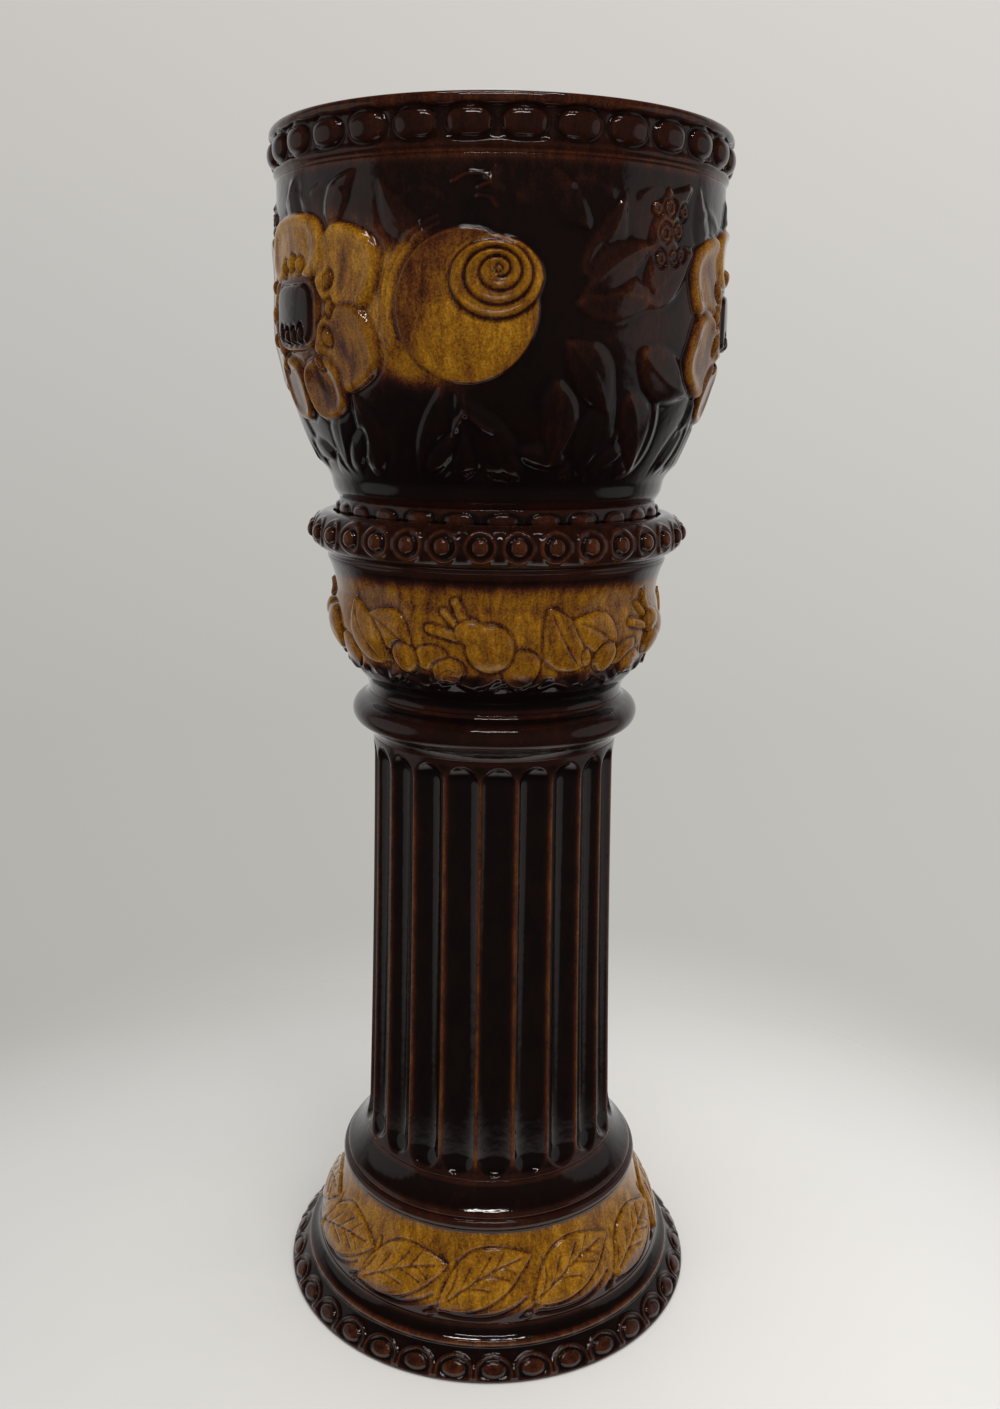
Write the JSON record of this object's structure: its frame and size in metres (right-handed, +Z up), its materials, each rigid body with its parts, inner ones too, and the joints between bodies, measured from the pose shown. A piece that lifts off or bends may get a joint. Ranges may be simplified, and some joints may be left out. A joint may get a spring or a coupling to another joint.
{
  "type": "jardiniere on stand",
  "caption": "Round glazed flower pot with a beaded rim, lifting off a hollow fluted pedestal with a dish-shaped top and a flared round base.",
  "frame": {"origin": "centre of the pedestal's underside, on the floor", "axes": "+Z up along the common axis of pot and pedestal; the shown front faces -Y, +X to its right"},
  "size_m": [0.282, 0.282, 0.75],
  "materials": {
    "dark_glaze": "glossy treacle-brown glaze, nearly black where thick and reddish-brown on edges",
    "rim_glaze": "the same glaze, thinner and browner on the beads",
    "amber_glaze": "glossy honey-amber glaze, mottled and streaked with brown"
  },
  "bodies": {
    "pedestal": {"capital": "amber_glaze", "neck_ring": "dark_glaze", "column": "dark_glaze", "column_foot": "dark_glaze", "base": "amber_glaze"},
    "jardiniere": {"pot_rim": "rim_glaze", "pot_bowl": "dark_glaze", "pot_foot": "dark_glaze"}
  },
  "joints": [
    {"name": "lift", "type": "slide", "parent": "pedestal", "child": "jardiniere", "axis": [0, 0, 1], "range_m": [0, 0.25]}
  ]
}
